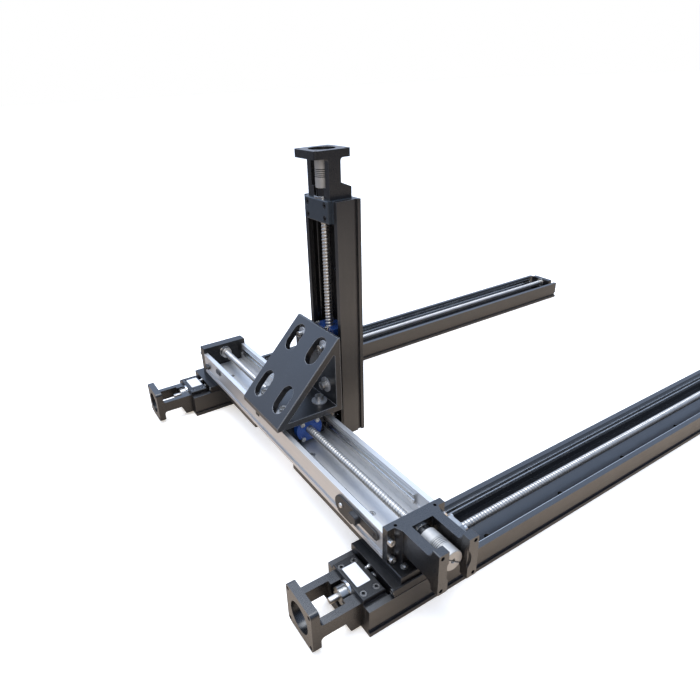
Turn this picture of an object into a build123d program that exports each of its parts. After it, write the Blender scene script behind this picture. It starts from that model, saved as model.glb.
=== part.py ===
from build123d import *

import os

# Three-axis linear gantry. Two base modules stand side by side, a cross module lies over
# their saddles, and a bracket on the cross saddle carries an upright column module.
# Millimetres, Z up. X runs along the base modules, away from their motor ends, and Y from
# the near base module to the far one. The origin is the middle of the footprint, on the
# surface that the base modules stand on. Each module is drawn in its own frame first:
# X along it from the motor end of its profile, Y across it, Z up from its underside.

# Section that all the modules share
PROFILE_W = 86.0
PROFILE_H = 39.0
WALL_T = 7.5
FLOOR_T = 8.0
SHOULDER_W = 3.0
SHOULDER_Z = 20.0
GROOVE_Z = 5.5
GROOVE_H = 6.5
GROOVE_D = 2.5
LIP_OUT = 0.7
AXIS_Z = 32.0

# Floor holes
HOLE_PITCH = 150.0
HOLE_END = 45.0
HOLE_ROW = 28.0

# Guide rails
RAIL_T = 4.0
RAIL_H = 14.0
RAIL_START = 34.0
RAIL_STOP = 13.0
BALL_GROOVE_R = 2.0

# Module lengths and places
BASE_L = 1030.0
CROSS_L = 570.0
COLUMN_L = 372.0
CROSS_X = 89.5
CROSS_START = -5.0
FAR_INSET = 5.0
BASE_SADDLE_X = 97.25
CROSS_SADDLE_X = 290.0
COLUMN_SADDLE_X = 244.0

# Saddles
SADDLE_W = 86.0
SADDLE_PLATE_T = 10.5
SADDLE_LIFT = 1.5
SADDLE_DROP = 4.0
BASE_SADDLE_L = 125.5
SADDLE_L = 81.0

# Ball screws, nuts and their bearings
SCREW_D = 12.0
JOURNAL_D = 10.0
END_JOURNAL_D = 8.0
STUB_D = 8.0
STUB_OUT = 26.0
STUB_FLAT = 0.8
NUT_BODY_D = 28.0
NUT_BODY_L = 34.0
NUT_FLANGE_D = 43.0
NUT_FLANGE_T = 10.0
NUT_BOLT_D = 36.0
BEARING_OD = 26.0
BEARING_L = 16.0
END_BEARING_OD = 22.0
END_BEARING_L = 7.0
SHIELD_D = 0.6
SHIELD_IN = 2.5
LOCK_NUT_D = 21.0
LOCK_NUT_L = 10.0
CROSS_LOCK_NUT_L = 6.5
LOCK_SLOT_W = 4.0
LOCK_SLOT_D = 2.0
END_NUT_D = 20.0
END_NUT_L = 8.0

# Bearing block
BLOCK_L = 31.0
LID_T = 7.0
LID_W = 63.0
BLOCK_SHOULDER = 6.0
BLOCK_RING_D = 28.0
BLOCK_RING_OUT = 3.0
BLOCK_BORE_D = 18.0
BLOCK_SCREW_X = 6.5
BLOCK_SCREW_PITCH = 18.0
BLOCK_SCREW_ROW = 45.4

# End block
END_BLOCK_L = 12.0
END_BLOCK_W = 54.0
END_BLOCK_TOP = 43.0

# Motor face, shared by every motor mount
MOTOR_SQUARE = 57.0
MOTOR_PILOT_D = 38.1
MOTOR_HOLE_PITCH = 47.14
MOTOR_HOLE_D = 5.2
MOTOR_CORNER_R = 5.0

# Motor mount of the base and column modules
MOUNT_OUT = 65.0
FLANGE_T = 11.0
FOOT_T = 15.0
FOOT_BOTTOM = 4.5
FOOT_HOLE_D = 30.0
ARM_T = 10.0
ARM_BELOW = 11.0
ARM_ABOVE = 8.0
ARM_TAPER = 7.0
ARM_FILLET_R = 4.5

# End bar of the cross module, with its motor arms
BAR_END_T = 9.0
BAR_MID_T = 18.5
BAR_H = 49.0
BAR_FLAT_W = 10.4
BAR_RING_OUT = 1.5
BAR_RING_D = 26.0
BAR_ARM_T = 13.0
BAR_ARM_BOTTOM = 15.5
BAR_ARM_FILLET_R = 9.0
POST_OUT = 78.0
POST_T = 11.0
POST_W = 14.0
PILOT_DEPTH = 2.0
BAR_TOP_HOLE_D = 4.2
BAR_TOP_HOLE_Y = 29.6
BAR_TOP_HOLE_X = 6.5
BAR_LOW_INSET = 2.0
END_PLATE_T = 18.0

# Couplings
CROSS_COUPLING_D = 26.0
COLUMN_COUPLING_D = 22.0
CROSS_COUPLING_L = 43.0
COUPLING_GAP = 0.5
CLAMP_SLOT_L = 9.0
CLAMP_SLOT_W = 1.5
SLIT_W = 0.9
SLIT_PITCH = 2.4
SLIT_COUNT = 4
SLIT_WEB = 3.0
SLIT_GROOVE = 0.4
MOTOR_BORE_D = 8.0

# Adapter plates
ADAPTER_T = 9.0
ADAPTER_NEAR_START = -40.0
ADAPTER_NEAR_L = 253.0
ADAPTER_FAR_L = 239.0
ADAPTER_SCREW_X = 59.0
ADAPTER_SCREW_Y = 56.0

# Bracket between the cross saddle and the column saddle
BRACKET_REACH = 55.0
BRACKET_BASE = 112.0
BRACKET_H = 121.0
BRACKET_W = 118.0
BRACKET_T = 10.0
BRACKET_WEB_T = 10.5
BRACKET_NOSE = 6.7
BRACKET_TOP_FLAT = 3.0
BRACKET_PITCH = 62.0
ACCESS_L = 46.0
ACCESS_W = 29.0
COLUMN_SADDLE_UP = 66.0

# Limit switches on the side of the cross module
STRIP_L = 107.0
STRIP_START = 5.0
STRIP_T = 2.0
STRIP_BOTTOM = 2.0
STRIP_H = 32.0
SWITCH_L = 33.0
SWITCH_W = 7.0
SWITCH_H = 11.0
SWITCH_Z = 5.0
SWITCH_NEAR_X = 35.0
SWITCH_FAR_INSET = 29.0
SWITCH_EYE = 6.0
FLAG_W = 10.0
FLAG_T = 1.5
FLAG_DROP = 22.0

# Clearances
SEAT_GAP = 0.3
FIT_GAP = 0.03
SLIDE_GAP = 0.3
NUT_GAP = 0.25
SHANK_GAP = 0.15
EDGE_R = 1.5
EDGE_CHAMFER = 0.8
CUT_PAST = 1.0

# Socket head screws: shank, head diameter, head height, hexagon across flats
M4 = (4.0, 7.0, 4.0, 3.0)
M5 = (5.0, 8.5, 5.0, 4.0)
M8 = (8.0, 13.0, 8.0, 6.0)
SINK_GAP = 0.4
HEX_DEPTH = 0.55
WASHER_D = 24.0
WASHER_T = 2.0
BLOCK_SCREW_L = 40.0
NUT_SCREW_L = 20.0
PLATE_SCREW_L = 12.0
BAR_SCREW_L = 20.0
BRACKET_SCREW_L = 20.0
THREAD_SPARE = 2.0

# Worked out from the sizes above
BASE_PITCH = CROSS_START + CROSS_L - FAR_INSET
INNER_Y = PROFILE_W / 2 - WALL_T
SHOULDER_Y = INNER_Y - SHOULDER_W
RAIL_FACE_Y = INNER_Y - RAIL_T
RAIL_MID_Z = SHOULDER_Z + RAIL_H / 2
PLATE_BOTTOM_Z = PROFILE_H + SADDLE_LIFT
SADDLE_TOP_Z = PLATE_BOTTOM_Z + SADDLE_PLATE_T
LID_TOP_Z = PROFILE_H + LID_T
BEARING_END_X = BLOCK_SHOULDER + BEARING_L
CROSS_Z = SADDLE_TOP_Z + ADAPTER_T
WALL_MID_Y = (PROFILE_W - WALL_T) / 2
M5_SINK = M5[2] + SINK_GAP
BAR_LOW_Z = M5[1] / 2 + SEAT_GAP
MID_X = (BASE_L - MOUNT_OUT) / 2
MID_Y = (BASE_PITCH + PROFILE_W / 2 + LIP_OUT + CROSS_START - POST_OUT) / 2


def box(x, y, z):
    """Box between two values of x, of y and of z."""
    size = (x[1] - x[0], y[1] - y[0], z[1] - z[0])
    return Pos(x[0], y[0], z[0]) * Box(*size, align=(Align.MIN, Align.MIN, Align.MIN))


def turned(*outline):
    """Solid turned about the screw axis, from the (x, radius) corners of its outline."""
    face = make_face(Polyline(*outline, close=True))
    return Pos(0, 0, AXIS_Z) * revolve(Plane.XZ * face, axis=Axis.X)


def bore(x, radius):
    """Round hole on the screw axis between two values of x."""
    return turned((x[0], 0), (x[0], radius), (x[1], radius), (x[1], 0))


def along_x(section, x):
    """Section with its width on Y and its height on Z, extruded between two values of x."""
    return Pos(x[0], 0, 0) * extrude(Plane.YZ * section, amount=x[1] - x[0])


def hole(place, diameter, depth, sink=None):
    """Hole that goes down from a place, with a recess for a screw head if one is given."""
    cut = place * Cylinder(diameter / 2, depth, align=(Align.CENTER, Align.CENTER, Align.MAX))
    if sink:
        cut += place * Cylinder(sink[0] / 2, sink[1], align=(Align.CENTER, Align.CENTER, Align.MAX))
    return cut


def cap_screw(size, length):
    """Socket head screw whose head stands on Z = 0."""
    shank_d, head_d, head_h, hexagon = size
    head = Cylinder(head_d / 2, head_h, align=(Align.CENTER, Align.CENTER, Align.MIN))
    shank = Cylinder(shank_d / 2, length, align=(Align.CENTER, Align.CENTER, Align.MAX))
    socket = extrude(RegularPolygon(hexagon / 2, 6, major_radius=False), amount=head_h)
    return head + shank - Pos(0, 0, head_h * (1 - HEX_DEPTH)) * socket


def cap_screws(size, length, places):
    """One loose screw at each place."""
    return [place * cap_screw(size, length) for place in places]


def facing(x, y, z, direction):
    """Place whose own Z points along a direction."""
    return Plane(origin=(x, y, z), z_dir=direction).location


def corners(middle, spacing_x, spacing_y, z):
    """Four places on a rectangle, facing up."""
    grid = GridLocations(spacing_x, spacing_y, 2, 2)
    return [Pos(middle[0], middle[1], z) * place for place in grid.locations]


def floor_holes(length):
    """Places of the floor holes of a profile, in two rows about its middle."""
    columns = int((length - 2 * HOLE_END) / HOLE_PITCH) + 1
    grid = GridLocations(HOLE_PITCH, HOLE_ROW, columns, 2)
    return [Pos(length / 2, 0, FLOOR_T) * place for place in grid.locations]


# Pieces that every module has

def profile(length, tapped, tapped_depth):
    """U-shaped profile with a shoulder under each guide rail and a groove along each side."""
    side = PROFILE_W / 2
    half = make_face(Polyline(
        (0, 0), (side + LIP_OUT, 0), (side + LIP_OUT, GROOVE_Z), (side - GROOVE_D, GROOVE_Z),
        (side - GROOVE_D, GROOVE_Z + GROOVE_H), (side, GROOVE_Z + GROOVE_H), (side, PROFILE_H),
        (INNER_Y, PROFILE_H), (INNER_Y, SHOULDER_Z), (SHOULDER_Y, SHOULDER_Z),
        (SHOULDER_Y, FLOOR_T), (0, FLOOR_T), close=True))
    body = along_x(half + mirror(half, about=Plane.YZ), (0, length))
    recess = (M5[1] + 2 * SINK_GAP, M5_SINK)
    drill = M5[0] + 2 * SHANK_GAP
    cuts = [hole(place, drill, FLOOR_T, recess) for place in floor_holes(length)]
    return body - cuts - [hole(place, drill, tapped_depth) for place in tapped]


def guide_rail(length, side):
    """Ground rail on the inside of one wall, with a ball groove towards the saddle."""
    bar = Pos(side * (INNER_Y - RAIL_T / 2), RAIL_MID_Z) * Rectangle(RAIL_T, RAIL_H)
    groove = Pos(side * RAIL_FACE_Y, RAIL_MID_Z) * Circle(BALL_GROOVE_R)
    return along_x(bar - groove, (RAIL_START, length - RAIL_STOP))


def saddle(middle, length, nut_side, top_holes, hole_size):
    """Sliding plate with the block below it that runs between the rails and holds the nut."""
    low = FLOOR_T + SADDLE_DROP
    block_w = 2 * (RAIL_FACE_Y - SLIDE_GAP)
    plate = Pos(0, (PLATE_BOTTOM_Z + SADDLE_TOP_Z) / 2) * Rectangle(SADDLE_W, SADDLE_PLATE_T)
    block = Pos(0, (low + PLATE_BOTTOM_Z) / 2) * Rectangle(block_w, PLATE_BOTTOM_Z - low)
    grooves = [Pos(side * RAIL_FACE_Y, RAIL_MID_Z) * Circle(BALL_GROOVE_R) for side in (-1, 1)]
    x = (middle - length / 2, middle + length / 2)
    body = along_x(plate + block - grooves, x)
    body = chamfer(body.edges().filter_by(Axis.X).group_by(Axis.Z)[-1], EDGE_CHAMFER)
    body -= bore(x, NUT_BODY_D / 2 + SEAT_GAP)
    face = x[0] if nut_side < 0 else x[1]
    tapped = NUT_SCREW_L - NUT_FLANGE_T + THREAD_SPARE
    cuts = [hole(place, M4[0] + 2 * SHANK_GAP, tapped) for place in nut_bolts(face, nut_side)]
    cuts += [hole(place, hole_size[0] + 2 * SHANK_GAP, hole_size[1]) for place in top_holes]
    return body - cuts


def nut_bolts(x, side):
    """Places of the four flange screws of a nut, on a face that looks along -X or +X."""
    ring = PolarLocations(NUT_BOLT_D / 2, 4, start_angle=45)
    return [facing(x, 0, AXIS_Z, (side, 0, 0)) * place for place in ring.locations]


def ball_nut(face, side):
    """Flanged nut whose flange sits on a saddle face, with its body inside the saddle."""
    inner = SCREW_D / 2 + NUT_GAP
    body, rim = NUT_BODY_D / 2, NUT_FLANGE_D / 2
    nut = turned(
        (face - side * NUT_BODY_L, inner), (face - side * NUT_BODY_L, body), (face, body),
        (face, rim), (face + side * NUT_FLANGE_T, rim), (face + side * NUT_FLANGE_T, inner))
    outer = face + side * NUT_FLANGE_T
    flat = SADDLE_TOP_Z - AXIS_Z - SEAT_GAP
    nut &= box(sorted((outer, face - side * NUT_BODY_L)), (-rim, rim), (AXIS_Z - flat, AXIS_Z + flat))
    drill = M4[0] + 2 * SHANK_GAP
    return nut - [hole(place, drill, NUT_FLANGE_T) for place in nut_bolts(outer, side)]


def ball_screw(stub, nut_face, thread, end, flat=False):
    """Screw with a stub up to the lock nut, the fixed journal, the thread and the end journal."""
    shaft = turned(
        (stub, 0), (stub, STUB_D / 2), (nut_face, STUB_D / 2), (nut_face, JOURNAL_D / 2),
        (thread[0], JOURNAL_D / 2), (thread[0], SCREW_D / 2), (thread[1], SCREW_D / 2),
        (thread[1], END_JOURNAL_D / 2), (end, END_JOURNAL_D / 2), (end, 0))
    if flat:
        top = AXIS_Z + STUB_D / 2
        shaft -= box((stub, nut_face), (-STUB_D, STUB_D), (top - STUB_FLAT, top + STUB_FLAT))
    return shaft


def bearing(x, inner_d, outer_d):
    """Ball bearing with a recessed shield on each face."""
    inner, outer = inner_d / 2 + FIT_GAP, outer_d / 2
    low, high = inner + SHIELD_IN, outer - SHIELD_IN
    return turned(
        (x[0], inner), (x[0], low), (x[0] + SHIELD_D, low), (x[0] + SHIELD_D, high),
        (x[0], high), (x[0], outer), (x[1], outer), (x[1], high), (x[1] - SHIELD_D, high),
        (x[1] - SHIELD_D, low), (x[1], low), (x[1], inner))


def fixed_bearing():
    """Pair of bearings in a bearing block, drawn as one."""
    return bearing((BLOCK_SHOULDER, BEARING_END_X), JOURNAL_D, BEARING_OD)


def lock_nut(seat, length):
    """Slotted nut that clamps the fixed bearing, from a seat towards the motor."""
    x0, x1 = seat - SEAT_GAP - length, seat - SEAT_GAP
    rim = LOCK_NUT_D / 2
    nut = turned((x0, JOURNAL_D / 2 + FIT_GAP), (x0, rim), (x1, rim), (x1, JOURNAL_D / 2 + FIT_GAP))
    slot = box((x0, x1), (-LOCK_SLOT_W / 2, LOCK_SLOT_W / 2), (rim - LOCK_SLOT_D, rim + LOCK_SLOT_D))
    return nut - [Pos(0, 0, AXIS_Z) * Rot(turn, 0, 0) * slot for turn in range(0, 360, 90)]


def coupling(x, outer_d):
    """Flexible coupling: two split ends, and a stack of crossed slits between them, each in a
    shallow groove that runs right round."""
    middle, radius = (x[0] + x[1]) / 2, outer_d / 2
    past = radius + CUT_PAST
    body = bore(x, radius)
    body -= bore((middle, x[1]), STUB_D / 2 + FIT_GAP)
    body -= bore((x[0], middle), MOTOR_BORE_D / 2)
    first = middle - SLIT_PITCH * (SLIT_COUNT - 1) / 2
    for index in range(SLIT_COUNT):
        start = first + SLIT_PITCH * index - SLIT_W / 2
        width = (start, start + SLIT_W)
        slit = box(width, (-past, past), (SLIT_WEB - radius, past))
        body -= Pos(0, 0, AXIS_Z) * Rot(90 * index, 0, 0) * slit
        body -= bore(width, past) - bore(width, radius - SLIT_GROOVE)
    for end, side in ((x[0], 1), (x[1], -1)):
        slot = sorted((end - side * CUT_PAST, end + side * CLAMP_SLOT_L))
        half = CLAMP_SLOT_W / 2
        body -= box(slot, (-half, half), (AXIS_Z - past, AXIS_Z + past))
    return body


def bearing_block():
    """Block at the motor end: a body between the walls and a lid over them."""
    low_y, high_y = SHOULDER_Y - SEAT_GAP, INNER_Y - SEAT_GAP
    half = make_face(Polyline(
        (0, FLOOR_T), (low_y, FLOOR_T), (low_y, SHOULDER_Z), (high_y, SHOULDER_Z),
        (high_y, PROFILE_H), (LID_W / 2, PROFILE_H), (LID_W / 2, LID_TOP_Z), (0, LID_TOP_Z),
        close=True))
    body = along_x(half + mirror(half, about=Plane.YZ), (0, BLOCK_L))
    body = fillet(body.faces().sort_by(Axis.Z)[-1].edges(), EDGE_R)
    body += bore((-BLOCK_RING_OUT, 0), BLOCK_RING_D / 2)
    body -= bore((-BLOCK_RING_OUT, BLOCK_SHOULDER), BLOCK_BORE_D / 2)
    body -= bore((BLOCK_SHOULDER, BLOCK_L), BEARING_OD / 2 + FIT_GAP)
    recess = (M5[1] + 2 * SINK_GAP, M5_SINK)
    drill = M5[0] + 2 * SHANK_GAP
    return body - [hole(place, drill, LID_TOP_Z, recess) for place in block_screw_places(0)]


def block_screw_places(sink):
    """Places of the four lid screws, a given depth below the lid's top."""
    middle = (BLOCK_SCREW_X + BLOCK_SCREW_PITCH / 2, 0)
    return corners(middle, BLOCK_SCREW_PITCH, BLOCK_SCREW_ROW, LID_TOP_Z - sink)


def end_block(length):
    """Block at the far end, bored from the inside for the floating bearing."""
    x = (length - END_BLOCK_L, length)
    body = box(x, (-END_BLOCK_W / 2, END_BLOCK_W / 2), (FLOOR_T, END_BLOCK_TOP))
    body = fillet(body.faces().sort_by(Axis.Z)[-1].edges().filter_by(Axis.X), EDGE_R)
    return body - bore((x[0], x[0] + END_BEARING_L), END_BEARING_OD / 2 + FIT_GAP)


def motor_holes(x):
    """Places of the four motor screws, looking along -X."""
    grid = GridLocations(MOTOR_HOLE_PITCH, MOTOR_HOLE_PITCH, 2, 2)
    return [facing(x, 0, AXIS_Z, (-1, 0, 0)) * place for place in grid.locations]


def motor_mount():
    """Square motor flange joined to a foot by two tapered arms."""
    half = MOTOR_SQUARE / 2
    low, top = AXIS_Z - ARM_BELOW, AXIS_Z + ARM_ABOVE
    back = FLANGE_T - MOUNT_OUT
    side = make_face(Polyline(
        (back, low), (-FOOT_T - ARM_TAPER, low), (-FOOT_T, FOOT_BOTTOM), (0, FOOT_BOTTOM),
        (0, top), (back, top), close=True))
    body = extrude(Plane.XZ * side, amount=half, both=True)
    body -= box((back, -FOOT_T), (ARM_T - half, half - ARM_T), (0, top))
    square = Pos(0, AXIS_Z) * RectangleRounded(MOTOR_SQUARE, MOTOR_SQUARE, MOTOR_CORNER_R)
    body += along_x(square, (-MOUNT_OUT, back))
    inside = [edge for edge in body.edges().filter_by(Axis.Y)
              if abs(edge.center().X - back) < FIT_GAP and abs(edge.length - ARM_T) < FIT_GAP]
    body = fillet(inside, ARM_FILLET_R)
    body -= bore((-MOUNT_OUT, back), MOTOR_PILOT_D / 2)
    body -= bore((-FOOT_T, 0), FOOT_HOLE_D / 2)
    return body - [hole(place, MOTOR_HOLE_D, FLANGE_T) for place in motor_holes(-MOUNT_OUT)]


# End pieces of the cross module

def bar_screw_places(x, side):
    """Places of the four screws that hold an end piece to the profile's walls and floor."""
    spots = ((WALL_MID_Y, AXIS_Z), (WALL_MID_Y - BAR_LOW_INSET, BAR_LOW_Z))
    return [facing(x, hand * y, z, (side, 0, 0)) for hand in (-1, 1) for y, z in spots]


def motor_bracket():
    """End bar with two arms that turn up and down into posts for the motor."""
    half, side = MOTOR_SQUARE / 2, PROFILE_W / 2
    flat = side - BAR_FLAT_W
    plan = make_face(Polyline(
        (0, -side), (-BAR_END_T, -side), (-BAR_END_T, -flat), (-BAR_MID_T, -half),
        (-BAR_MID_T, half), (-BAR_END_T, flat), (-BAR_END_T, side), (0, side), close=True))
    body = extrude(plan, amount=BAR_H)
    inner = POST_T - POST_OUT
    arms = box((inner, -BAR_MID_T), (-half, half), (BAR_ARM_BOTTOM, BAR_H))
    arms -= box((inner, -BAR_MID_T), (BAR_ARM_T - half, half - BAR_ARM_T), (0, BAR_H))
    square = Pos(0, AXIS_Z) * RectangleRounded(MOTOR_SQUARE, MOTOR_SQUARE, EDGE_R)
    opening = Pos(0, AXIS_Z) * Rectangle(MOTOR_SQUARE - 2 * POST_W, MOTOR_SQUARE)
    arms += along_x(square - opening, (-POST_OUT, inner))
    body += arms
    inside = [edge for edge in body.edges().filter_by(Axis.Y)
              if abs(edge.center().X - inner) < FIT_GAP and edge.length < POST_W
              and abs(edge.center().Z - AXIS_Z) < half - FIT_GAP]
    body = fillet(inside, BAR_ARM_FILLET_R)
    body += bore((-BAR_MID_T - BAR_RING_OUT, -BAR_MID_T), BAR_RING_D / 2)
    body -= bore((-BAR_MID_T - BAR_RING_OUT, 0), BLOCK_BORE_D / 2)
    body -= bore((-BEARING_L, 0), BEARING_OD / 2 + FIT_GAP)
    body -= bore((-POST_OUT, PILOT_DEPTH - POST_OUT), MOTOR_PILOT_D / 2)
    cuts = [hole(place, MOTOR_HOLE_D, POST_T) for place in motor_holes(-POST_OUT)]
    drill = M5[0] + 2 * SHANK_GAP
    cuts += [hole(place, drill, BAR_END_T) for place in bar_screw_places(-BAR_END_T, -1)]
    cuts += [hole(Pos(-BAR_TOP_HOLE_X, y, BAR_H), BAR_TOP_HOLE_D, BAR_END_T)
             for y in (-BAR_TOP_HOLE_Y, BAR_TOP_HOLE_Y)]
    return body - cuts


def end_plate():
    """Plate across the far end of the cross module."""
    side = PROFILE_W / 2
    body = box((CROSS_L, CROSS_L + END_PLATE_T), (-side, side), (0, BAR_H))
    body = fillet(body.edges().filter_by(Axis.X), EDGE_R)
    body -= bore((CROSS_L, CROSS_L + END_BEARING_L), END_BEARING_OD / 2 + FIT_GAP)
    outer = CROSS_L + END_PLATE_T
    drill = M5[0] + 2 * SHANK_GAP
    return body - [hole(place, drill, END_PLATE_T) for place in bar_screw_places(outer, 1)]


def end_nut():
    """Round nut on the end journal of the cross screw."""
    x0, x1 = CROSS_L - END_NUT_L - SEAT_GAP, CROSS_L - SEAT_GAP
    inner = END_JOURNAL_D / 2 + FIT_GAP
    return turned((x0, inner), (x0, END_NUT_D / 2), (x1, END_NUT_D / 2), (x1, inner))


# Adapter plates, bracket and limit switches

def adapter_screw_places(base_y, sink):
    """Places of the four screws from an adapter plate into a base saddle."""
    return corners((CROSS_X, base_y), ADAPTER_SCREW_X, ADAPTER_SCREW_Y, CROSS_Z - sink)


def adapter_plate(start, length, base_y):
    """Plate between a base saddle and the cross module, in the base modules' frame."""
    x = (CROSS_X - PROFILE_W / 2, CROSS_X + PROFILE_W / 2)
    body = box(x, (start, start + length), (SADDLE_TOP_Z, CROSS_Z))
    body = chamfer(body.faces().sort_by(Axis.Z)[-1].edges(), EDGE_CHAMFER)
    drill = M5[0] + 2 * SHANK_GAP
    recess = (M5[1] + 2 * SINK_GAP, M5_SINK)
    cuts = [hole(place, drill, ADAPTER_T, recess) for place in adapter_screw_places(base_y, 0)]
    tapped = [place for place in floor_holes(CROSS_L)
              if start < (CROSS_FRAME * place).position.Y + MID_Y < start + length]
    to_base = Pos(MID_X, MID_Y, 0) * CROSS_FRAME * Pos(0, 0, -FLOOR_T)
    cuts += [hole(to_base * place, drill, ADAPTER_T) for place in tapped]
    return body - cuts


def bracket():
    """Triangular bracket: base, upright plate and a slanted web with a slot over each far screw."""
    x1 = CROSS_X + BRACKET_REACH
    x0, z0 = x1 - BRACKET_BASE, CROSS_Z + SADDLE_TOP_Z
    z1, nose = z0 + BRACKET_H, z0 + BRACKET_NOSE
    outline = make_face(Polyline(
        (x0, z0), (x1, z0), (x1, z1), (x1 - BRACKET_TOP_FLAT, z1), (x0, nose), close=True))
    run, rise = x1 - BRACKET_TOP_FLAT - x0, z1 - nose
    slope, length = rise / run, (run**2 + rise**2) ** 0.5
    lower = BRACKET_WEB_T * length / run
    base_top, plate_x = z0 + BRACKET_T, x1 - BRACKET_T
    tip_x = x0 + (base_top - nose + lower) / slope
    window = make_face(Polyline(
        (tip_x, base_top), (plate_x, base_top), (plate_x, nose - lower + slope * (plate_x - x0)),
        close=True))
    window = fillet(window.vertices().sort_by(Axis.Y)[-1], EDGE_R)
    body = extrude(Plane.XZ * (outline - window), amount=BRACKET_W / 2, both=True)
    sides = (body.faces().sort_by(Axis.Y)[0], body.faces().sort_by(Axis.Y)[-1])
    body = chamfer([edge for side in sides for edge in side.outer_wire().edges()], EDGE_CHAMFER)
    low_x = CROSS_X - BRACKET_PITCH / 2
    high_z = z0 + COLUMN_SADDLE_UP + BRACKET_PITCH / 2
    spots = ((low_x, nose + slope * (low_x - x0)), (x0 + (high_z - nose) / slope, high_z))
    room = box((x0 - x1, plate_x), (-BRACKET_W, BRACKET_W), (base_top, z1 + BRACKET_H))
    for y in (-BRACKET_PITCH / 2, BRACKET_PITCH / 2):
        for x, z in spots:
            web = Plane(origin=(x, y, z), x_dir=(run, 0, rise), z_dir=(-rise, 0, run)).offset(CUT_PAST)
            slot = extrude(web * SlotOverall(ACCESS_L, ACCESS_W), amount=-BRACKET_WEB_T - 2 * CUT_PAST)
            body -= slot & room
    drill = M8[0] + 2 * SHANK_GAP
    cuts = [hole(place, drill, BRACKET_T) for place in bracket_places(0)]
    cuts += [place * Cylinder(WASHER_D / 2 + SEAT_GAP, WASHER_T + M8[2],
                              align=(Align.CENTER, Align.CENTER, Align.MIN))
             for place in bracket_places(0)]
    return Pos(0, CARRIAGE_Y, 0) * (body - cuts)


def bracket_places(lift):
    """Places of the bracket's eight screws about its middle, a given height above its plates."""
    base_top = CROSS_Z + SADDLE_TOP_Z + BRACKET_T
    plate_x = CROSS_X + BRACKET_REACH - BRACKET_T
    middle_z = CROSS_Z + SADDLE_TOP_Z + COLUMN_SADDLE_UP
    on_base = corners((CROSS_X, 0), BRACKET_PITCH, BRACKET_PITCH, base_top + lift)
    wall = Plane(origin=(plate_x - lift, 0, middle_z), x_dir=(0, 1, 0), z_dir=(-1, 0, 0))
    grid = GridLocations(BRACKET_PITCH, BRACKET_PITCH, 2, 2)
    return on_base + [wall.location * place for place in grid.locations]


def saddle_pattern(middle):
    """Places of the bracket's four tapped holes in a saddle's top."""
    return corners((middle, 0), BRACKET_PITCH, BRACKET_PITCH, SADDLE_TOP_Z)


def limit_strip():
    """Angled sheet on the side of the cross module that carries the near switch."""
    y0 = PROFILE_W / 2 + LIP_OUT + SEAT_GAP
    x = (STRIP_START, STRIP_START + STRIP_L)
    sheet = box(x, (y0, y0 + STRIP_T), (STRIP_BOTTOM, STRIP_BOTTOM + STRIP_H))
    ledge = box(x, (y0, y0 + STRIP_T + SWITCH_W / 2), (STRIP_BOTTOM, STRIP_BOTTOM + STRIP_T))
    return fillet((sheet + ledge).edges().filter_by(Axis.Y).sort_by(Axis.X)[-1], EDGE_R / 2)


def limit_switch(start, seat_y):
    """Switch body with a forked eye above it."""
    x = (start, start + SWITCH_L)
    y = (seat_y, seat_y + SWITCH_W)
    body = box(x, y, (SWITCH_Z, SWITCH_Z + SWITCH_H))
    body = chamfer(body.faces().sort_by(Axis.Y)[-1].edges(), EDGE_CHAMFER)
    for at in (x[0] + SWITCH_EYE / 2, x[0] + 2 * SWITCH_EYE):
        eye_z = SWITCH_Z + SWITCH_H
        body += box((at, at + SWITCH_EYE), (y[0], y[0] + SWITCH_EYE), (eye_z, eye_z + SWITCH_EYE))
    return body


def limit_flag():
    """Thin tab that hangs from the cross saddle and trips the switches."""
    x1 = CROSS_SADDLE_X + SADDLE_L / 2
    y0 = SADDLE_W / 2
    upper = box((x1 - FLAG_W, x1), (y0, y0 + FLAG_T), (PLATE_BOTTOM_Z, SADDLE_TOP_Z - EDGE_R))
    out = LIP_OUT + SEAT_GAP + FLAG_T
    step = box((x1 - FLAG_W, x1), (y0, y0 + out + FLAG_T), (PLATE_BOTTOM_Z, PLATE_BOTTOM_Z + FLAG_T))
    blade = box((x1 - FLAG_W, x1), (y0 + out, y0 + out + FLAG_T),
                (SADDLE_TOP_Z - FLAG_DROP, PLATE_BOTTOM_Z + FLAG_T))
    return upper + step + blade


# Modules, each in its own frame

def base_module():
    """Pieces of one base module."""
    x1 = BASE_SADDLE_X + BASE_SADDLE_L / 2
    holes = corners((CROSS_X, 0), ADAPTER_SCREW_X, ADAPTER_SCREW_Y, SADDLE_TOP_Z)
    depth = M5_SINK + PLATE_SCREW_L + THREAD_SPARE - ADAPTER_T
    end_x = BASE_L - END_BLOCK_L
    thread = (BEARING_END_X, end_x - SEAT_GAP)
    nut_face = -BLOCK_RING_OUT - SEAT_GAP - LOCK_NUT_L
    return {
        "profile": profile(BASE_L, block_screw_places(LID_TOP_Z - FLOOR_T), FLOOR_T),
        "left_rail": guide_rail(BASE_L, -1),
        "right_rail": guide_rail(BASE_L, 1),
        "bearing_block": bearing_block(),
        "motor_mount": motor_mount(),
        "screw": ball_screw(-STUB_OUT, nut_face, thread, end_x + END_BEARING_L, flat=True),
        "lock_nut": lock_nut(-BLOCK_RING_OUT, LOCK_NUT_L),
        "end_block": end_block(BASE_L),
        "ball_nut": ball_nut(x1, 1),
        "saddle": saddle(BASE_SADDLE_X, BASE_SADDLE_L, 1, holes, (M5[0], depth)),
    }


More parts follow.
